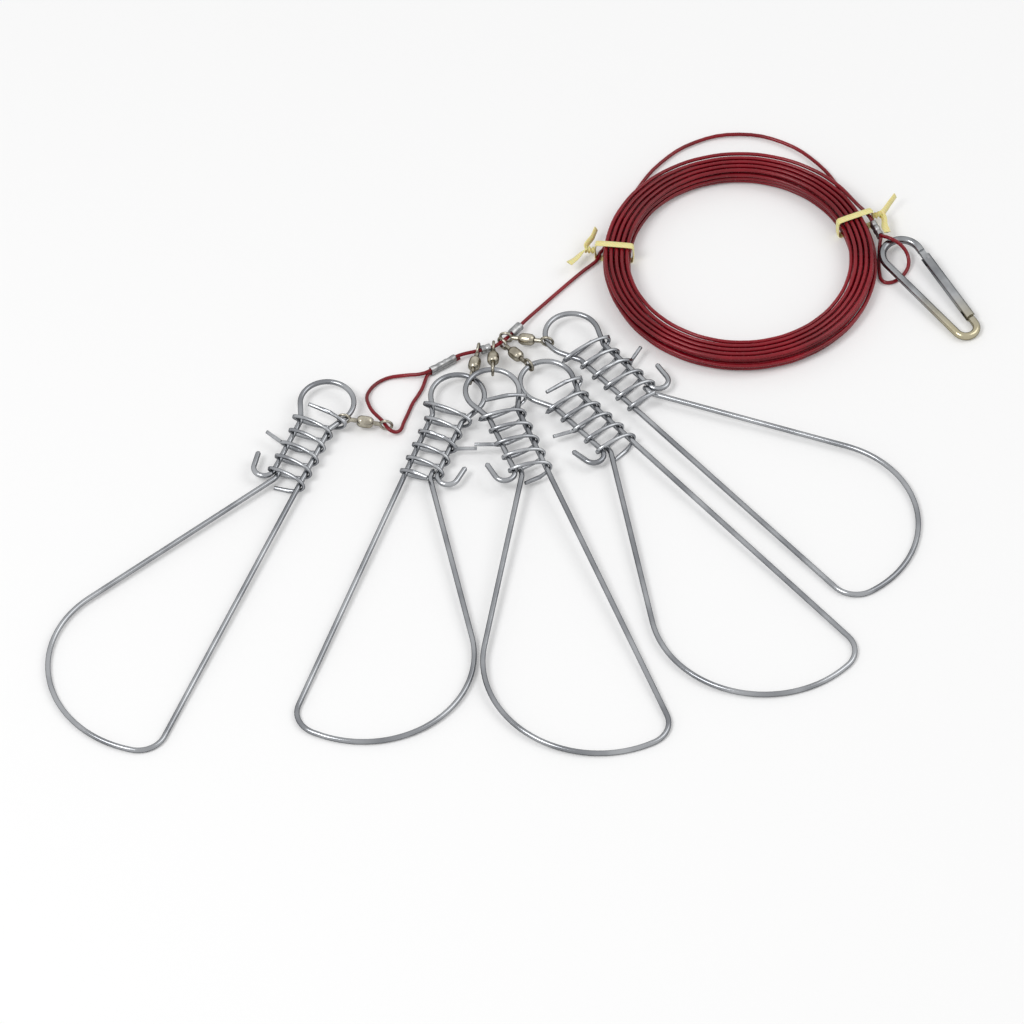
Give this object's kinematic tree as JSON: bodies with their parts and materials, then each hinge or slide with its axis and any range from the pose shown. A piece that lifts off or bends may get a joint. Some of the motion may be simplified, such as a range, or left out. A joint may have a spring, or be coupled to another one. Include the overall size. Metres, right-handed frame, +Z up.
{
  "type": "fish stringer",
  "caption": "Fish stringer: wire clips with sliding lock coils on swivels along a coated steel cable that is wound in a tied bundle, with a small snap hook at its end.",
  "frame": {"origin": "on the surface that the stringer lies on, below the middle of the box round its clips, swivels, sleeves, ties and snap hook", "axes": "+Z up, +X along the longest extent from the leftmost clip to the snap hook, +Y away from the clips towards the bundle"},
  "size_m": [0.2673, 0.2328, 0.0087],
  "materials": {
    "coated_cable": "gloss",
    "crimp_sleeve": "satin",
    "tie_plastic": "matt",
    "lock_wire": "polished",
    "clip_wire": "polished",
    "swivel_barrel": "satin",
    "swivel_eye": "satin",
    "snap_gate": "satin",
    "snap_wire": "polished"
  },
  "bodies": {
    "cable": {"cable_coil": "coated_cable", "cable_lead": "coated_cable", "cable_hook_loop": "coated_cable", "end_loop_sleeve": "crimp_sleeve", "hook_loop_sleeve": "crimp_sleeve", "stop_sleeve_1": "crimp_sleeve", "stop_sleeve_2": "crimp_sleeve", "twist_tie_left": "tie_plastic", "twist_tie_right": "tie_plastic", "swivel_1_cable_eye": "swivel_eye", "swivel_2_cable_eye": "swivel_eye", "swivel_3_cable_eye": "swivel_eye", "swivel_4_cable_eye": "swivel_eye", "swivel_5_cable_eye": "swivel_eye"},
    "swivel_1_barrel": {"swivel_1_barrel": "swivel_barrel"},
    "swivel_1_end": {"swivel_1_clip_eye": "swivel_eye"},
    "clip_1": {"clip_1_wire": "clip_wire", "clip_1_lock_spring": "lock_wire"},
    "clip_1_lock": {"clip_1_lock_slide": "lock_wire"},
    "swivel_2_barrel": {"swivel_2_barrel": "swivel_barrel"},
    "swivel_2_end": {"swivel_2_clip_eye": "swivel_eye"},
    "clip_2": {"clip_2_wire": "clip_wire", "clip_2_lock_spring": "lock_wire"},
    "clip_2_lock": {"clip_2_lock_slide": "lock_wire"},
    "swivel_3_barrel": {"swivel_3_barrel": "swivel_barrel"},
    "swivel_3_end": {"swivel_3_clip_eye": "swivel_eye"},
    "clip_3": {"clip_3_wire": "clip_wire", "clip_3_lock_spring": "lock_wire"},
    "clip_3_lock": {"clip_3_lock_slide": "lock_wire"},
    "swivel_4_barrel": {"swivel_4_barrel": "swivel_barrel"},
    "swivel_4_end": {"swivel_4_clip_eye": "swivel_eye"},
    "clip_4": {"clip_4_wire": "clip_wire", "clip_4_lock_spring": "lock_wire"},
    "clip_4_lock": {"clip_4_lock_slide": "lock_wire"},
    "swivel_5_barrel": {"swivel_5_barrel": "swivel_barrel"},
    "swivel_5_end": {"swivel_5_clip_eye": "swivel_eye"},
    "clip_5": {"clip_5_wire": "clip_wire", "clip_5_lock_spring": "lock_wire"},
    "clip_5_lock": {"clip_5_lock_slide": "lock_wire"},
    "snap": {"snap_body": "snap_wire"},
    "gate": {"snap_gate": "snap_gate", "snap_gate_pin": "snap_wire", "snap_gate_spring": "snap_wire"}
  },
  "joints": [
    {"name": "swivel_1_barrel_spin", "type": "hinge", "parent": "cable", "child": "swivel_1_barrel", "pos_m": [-0.03695, 0.01778, 0.0022], "axis": [-0.9887, 0.1039, 0.1076], "continuous": true},
    {"name": "swivel_1_turn", "type": "hinge", "parent": "cable", "child": "swivel_1_end", "pos_m": [-0.03695, 0.01778, 0.0022], "axis": [-0.9887, 0.1039, 0.1076], "range_deg": [-75, 75]},
    {"name": "clip_1_swing", "type": "hinge", "parent": "swivel_1_end", "child": "clip_1", "pos_m": [-0.04901, 0.01905, 0.00351], "axis": [-0.7372, -0.6754, -0.0186], "range_deg": [-75, 36]},
    {"name": "clip_1_lock_slide", "type": "slide", "parent": "clip_1", "child": "clip_1_lock", "axis": [0.3826, 0.9237, 0.0205], "range_m": [0, 0.006], "stiffness_N_per_m": 500, "springref_m": -0.002, "deforming": ["clip_1_lock_spring"]},
    {"name": "swivel_2_barrel_spin", "type": "hinge", "parent": "cable", "child": "swivel_2_barrel", "pos_m": [-0.01062, 0.04604, 0.0022], "axis": [-0.1687, -0.9767, 0.1328], "continuous": true},
    {"name": "swivel_2_turn", "type": "hinge", "parent": "cable", "child": "swivel_2_end", "pos_m": [-0.01062, 0.04604, 0.0022], "axis": [-0.1687, -0.9767, 0.1328], "range_deg": [-75, 8]},
    {"name": "clip_2_swing", "type": "hinge", "parent": "swivel_2_end", "child": "clip_2", "pos_m": [-0.01266, 0.03424, 0.00382], "axis": [0.8678, -0.497, -0.0039], "range_deg": [0, 90]},
    {"name": "clip_2_lock_slide", "type": "slide", "parent": "clip_2", "child": "clip_2_lock", "axis": [0.337, 0.9412, 0.0224], "range_m": [0, 0.006], "stiffness_N_per_m": 500, "springref_m": -0.002, "deforming": ["clip_2_lock_spring"]},
    {"name": "swivel_3_barrel_spin", "type": "hinge", "parent": "cable", "child": "swivel_3_barrel", "pos_m": [-0.00621, 0.04682, 0.0022], "axis": [-0.0164, -0.9419, 0.3354], "continuous": true},
    {"name": "swivel_3_turn", "type": "hinge", "parent": "cable", "child": "swivel_3_end", "pos_m": [-0.00621, 0.04682, 0.0022], "axis": [-0.0164, -0.9419, 0.3354], "range_deg": [-1, 8]},
    {"name": "clip_3_swing", "type": "hinge", "parent": "swivel_3_end", "child": "clip_3", "pos_m": [-0.00641, 0.03511, 0.00629], "axis": [-0.9997, 0.0175, 0.0147], "range_deg": [0, 90]},
    {"name": "clip_3_lock_slide", "type": "slide", "parent": "clip_3", "child": "clip_3_lock", "axis": [-0.3597, 0.9322, 0.0391], "range_m": [0, 0.006], "stiffness_N_per_m": 500, "springref_m": -0.002, "deforming": ["clip_3_lock_spring"]},
    {"name": "swivel_4_barrel_spin", "type": "hinge", "parent": "cable", "child": "swivel_4_barrel", "pos_m": [-0.00362, 0.04843, 0.0022], "axis": [0.6236, -0.771, 0.1295], "continuous": true},
    {"name": "swivel_4_turn", "type": "hinge", "parent": "cable", "child": "swivel_4_end", "pos_m": [-0.00362, 0.04843, 0.0022], "axis": [0.6236, -0.771, 0.1295], "range_deg": [-8, 75]},
    {"name": "clip_4_swing", "type": "hinge", "parent": "swivel_4_end", "child": "clip_4", "pos_m": [0.00426, 0.03868, 0.00378], "axis": [-0.7775, -0.6289, 0.0007], "range_deg": [-75, 8]},
    {"name": "clip_4_lock_slide", "type": "slide", "parent": "clip_4", "child": "clip_4_lock", "axis": [-0.6533, 0.7568, 0.0214], "range_m": [0, 0.006], "stiffness_N_per_m": 500, "springref_m": -0.002, "deforming": ["clip_4_lock_spring"]},
    {"name": "swivel_5_barrel_spin", "type": "hinge", "parent": "cable", "child": "swivel_5_barrel", "pos_m": [-0.00256, 0.05079, 0.0022], "axis": [0.9625, -0.2406, 0.1257], "continuous": true},
    {"name": "swivel_5_turn", "type": "hinge", "parent": "cable", "child": "swivel_5_end", "pos_m": [-0.00256, 0.05079, 0.0022], "axis": [0.9625, -0.2406, 0.1257], "range_deg": [-75, 45]},
    {"name": "clip_5_swing", "type": "hinge", "parent": "swivel_5_end", "child": "clip_5", "pos_m": [0.00912, 0.04787, 0.00373], "axis": [-0.3577, 0.9336, 0.0216], "range_deg": [-75, 75]},
    {"name": "clip_5_lock_slide", "type": "slide", "parent": "clip_5", "child": "clip_5_lock", "axis": [-0.6585, 0.7522, 0.023], "range_m": [0, 0.006], "stiffness_N_per_m": 500, "springref_m": -0.002, "deforming": ["clip_5_lock_spring"]},
    {"name": "snap_swing", "type": "hinge", "parent": "cable", "child": "snap", "pos_m": [0.1113, 0.0809, 0.0032], "axis": [0.8192, 0.5736, 0], "range_deg": [-20, 0]},
    {"name": "gate_swing", "type": "hinge", "parent": "snap", "child": "gate", "pos_m": [0.11876, 0.07929, 0.00288], "axis": [0.0328, -0.0469, 0.9984], "range_deg": [-9, 0], "stiffness_Nm_per_rad": 0.1, "springref_deg": 20.05}
  ]
}
